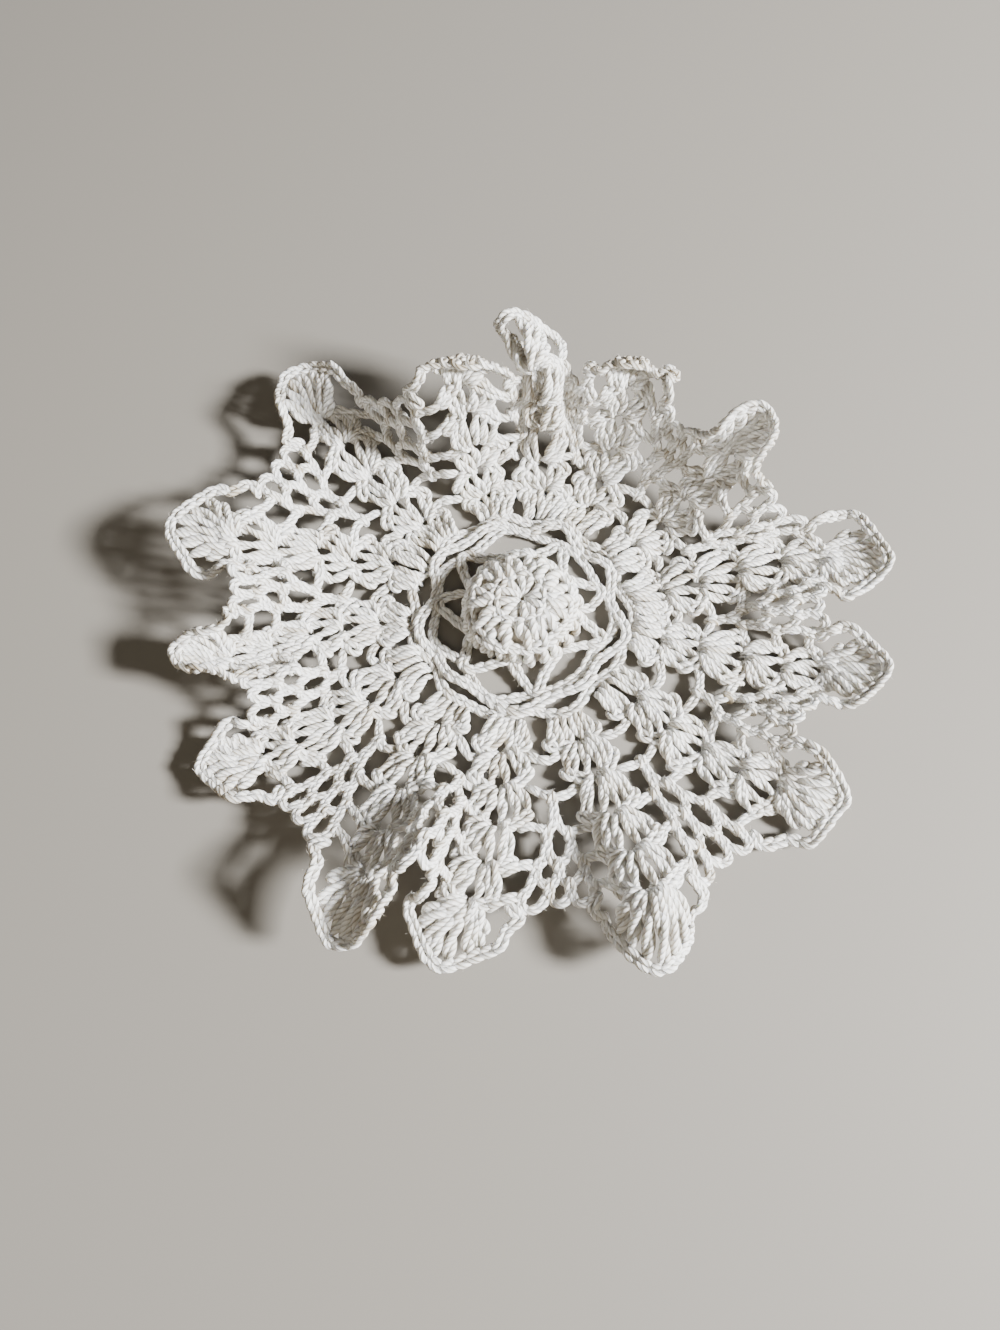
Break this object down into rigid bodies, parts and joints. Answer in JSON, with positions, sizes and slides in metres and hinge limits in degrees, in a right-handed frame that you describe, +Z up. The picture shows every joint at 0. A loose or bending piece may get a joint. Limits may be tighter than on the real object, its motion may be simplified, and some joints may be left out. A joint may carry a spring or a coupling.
{
  "type": "lace doily",
  "caption": "Round crocheted lace doily with a raised rosette, chain mesh between shell rays and ruffled pointed fans, lying on a surface.",
  "frame": {"origin": "middle of the bounding box's underside, on the surface the doily lies on", "axes": "+Z up from the surface; +Y towards the part of the edge that stands highest"},
  "size_m": [0.2106, 0.1835, 0.0443],
  "materials": {
    "yarn": "matte off-white crocheted yarn"
  },
  "bodies": {
    "root": {"doily": "yarn"}
  },
  "joints": []
}
